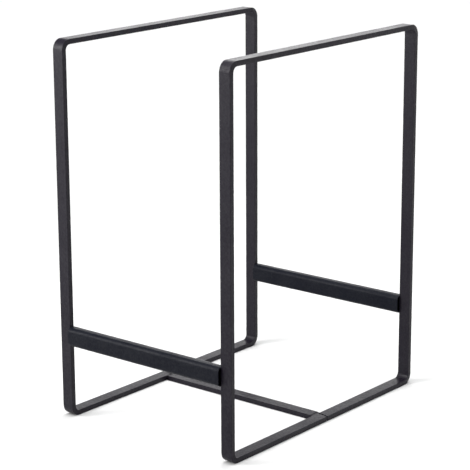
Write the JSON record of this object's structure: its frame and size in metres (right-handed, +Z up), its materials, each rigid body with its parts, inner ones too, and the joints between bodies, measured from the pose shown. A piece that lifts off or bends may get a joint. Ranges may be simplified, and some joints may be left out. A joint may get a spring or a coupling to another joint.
{
  "type": "firewood log rack",
  "caption": "Free-standing firewood rack: closed flat-bar hoops joined near the floor by tube rails and a floor crossbar, in matte black powder coat.",
  "frame": {"origin": "on the floor, under the middle of the rack", "axes": "+Z up, +X from the left hoop to the right hoop, -Y towards the front rail"},
  "size_m": [0.345, 0.482, 0.6],
  "materials": {
    "black_powder_coat": "matte",
    "coated_weld": "matte"
  },
  "bodies": {
    "root": {"left_hoop": "black_powder_coat", "right_hoop": "black_powder_coat", "front_rail": "black_powder_coat", "back_rail": "black_powder_coat", "floor_crossbar": "black_powder_coat", "hoop_seam_welds": "coated_weld", "crossbar_welds": "coated_weld", "rail_welds": "coated_weld"}
  },
  "joints": []
}
